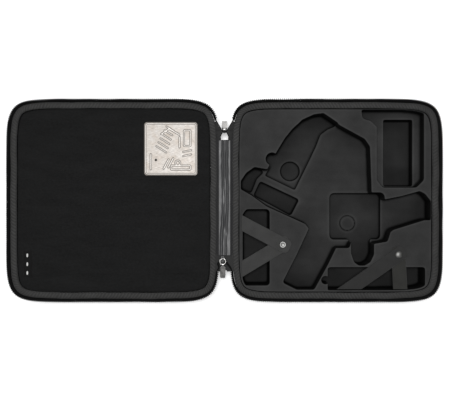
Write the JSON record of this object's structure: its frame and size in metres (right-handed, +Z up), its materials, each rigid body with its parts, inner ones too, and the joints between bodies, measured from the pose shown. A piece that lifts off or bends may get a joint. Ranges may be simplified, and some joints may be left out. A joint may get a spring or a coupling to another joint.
{
  "type": "zippered hard carrying case",
  "caption": "Hard carrying case lying open on a fabric spine: plush lid, moulded tray with shaped hollows and snap straps, round-the-rim zipper.",
  "frame": {"origin": "on the floor, in the middle of the open case, under the spine", "axes": "+X from the lid half to the base half, +Y along the spine towards the end with the see-through tape gap, +Z up"},
  "size_m": [0.738, 0.344, 0.0679],
  "materials": {
    "shell_fabric": "woven cloth laminated on moulded foam",
    "tray_velour": "short-pile velour on moulded foam",
    "pad_plush": "brushed plush",
    "foam": "open-cell foam",
    "binding_twill": "ribbed twill tape",
    "zipper_tape": "woven polyester tape",
    "zipper_coil": "moulded nylon teeth",
    "satin": "satin lining",
    "spine_cloth": "woven cloth",
    "webbing_grey": "ribbed webbing",
    "webbing_olive": "ribbed webbing",
    "slider_black": "semi-gloss black paint",
    "nickel": "bright nickel plate",
    "plate_metal": "pressed sheet, satin",
    "black_metal": "black paint",
    "black_plastic": "moulded, fine grain",
    "tag_cloth": "smooth woven ribbon"
  },
  "bodies": {
    "base": {"base_shell": "shell_fabric", "base_tray": "tray_velour", "base_binding": "binding_twill", "base_zipper_tape": "zipper_tape", "base_zipper_coil": "zipper_coil", "handle_brackets": "black_metal", "handle_rivets": "nickel", "handle_pins": "nickel"},
    "handle": {"carry_handle": "black_plastic"},
    "strap_left_lower": {"strap_left_lower": "webbing_grey", "snap_left_post": "nickel", "snap_left_stud": "nickel"},
    "strap_left_upper": {"strap_left_upper": "webbing_grey", "snap_left_socket": "nickel", "snap_left_cap": "nickel"},
    "strap_right_lower": {"strap_right_lower": "webbing_olive", "snap_right_post": "nickel", "snap_right_stud": "nickel"},
    "strap_right_upper": {"strap_right_upper": "webbing_grey", "snap_right_socket": "nickel", "snap_right_cap": "nickel"},
    "spine": {"spine_strip": "spine_cloth", "spine_lining": "satin", "zipper_tails_upper": "zipper_tape", "zipper_gusset_lower": "spine_cloth", "slider_upper": "slider_black", "slider_lower": "slider_black"},
    "pull_ring_lower": {"pull_ring_lower": "nickel"},
    "pull_tab_lower": {"pull_tab_lower": "nickel"},
    "pull_tab_upper": {"pull_tab_upper": "nickel"},
    "lid": {"lid_shell": "shell_fabric", "lid_foam": "foam", "lid_pad": "pad_plush", "lid_binding": "binding_twill", "lid_zipper_tape": "zipper_tape", "lid_zipper_coil": "zipper_coil", "layout_plate": "plate_metal", "plate_rivet": "black_metal", "woven_tag": "tag_cloth"}
  },
  "joints": [
    {"name": "spine_fold", "type": "hinge", "parent": "base", "child": "spine", "pos_m": [0.01, 0, 0.058], "axis": [0, -1, 0], "range_deg": [-90, 0]},
    {"name": "lid_fold", "type": "hinge", "parent": "spine", "child": "lid", "pos_m": [-0.01, 0, 0.058], "axis": [0, -1, 0], "range_deg": [-90, 0]},
    {"name": "handle_swing", "type": "hinge", "parent": "base", "child": "handle", "pos_m": [0.3665, 0, 0.031], "axis": [0, -1, 0], "range_deg": [0, 90]},
    {"name": "strap_left_lower_lift", "type": "hinge", "parent": "base", "child": "strap_left_lower", "pos_m": [0.029, -0.075, 0.055], "axis": [0, -1, 0], "range_deg": [0, 45]},
    {"name": "strap_left_upper_lift", "type": "hinge", "parent": "strap_left_lower", "child": "strap_left_upper", "pos_m": [0.029, -0.075, 0.055], "axis": [0, -1, 0], "range_deg": [0, 45]},
    {"name": "strap_right_lower_lift", "type": "hinge", "parent": "base", "child": "strap_right_lower", "pos_m": [0.296, -0.151, 0.055], "axis": [1, 0, 0], "range_deg": [0, 45]},
    {"name": "strap_right_upper_lift", "type": "hinge", "parent": "strap_right_lower", "child": "strap_right_upper", "pos_m": [0.296, -0.151, 0.055], "axis": [1, 0, 0], "range_deg": [0, 45]},
    {"name": "ring_lift", "type": "hinge", "parent": "spine", "child": "pull_ring_lower", "pos_m": [-0.003, -0.0985, 0.0628], "axis": [-1, 0, 0], "range_deg": [0, 90]},
    {"name": "tab_lift_lower", "type": "hinge", "parent": "pull_ring_lower", "child": "pull_tab_lower", "pos_m": [-0.003, -0.1083, 0.0628], "axis": [-1, 0, 0], "range_deg": [0, 80]},
    {"name": "tab_lift_upper", "type": "hinge", "parent": "spine", "child": "pull_tab_upper", "pos_m": [0, 0.12104, 0.05178], "axis": [1, 0, 0], "range_deg": [0, 45]}
  ],
  "couplings": [
    {"joint": "lid_fold", "follows": "spine_fold", "ratio": 1}
  ]
}
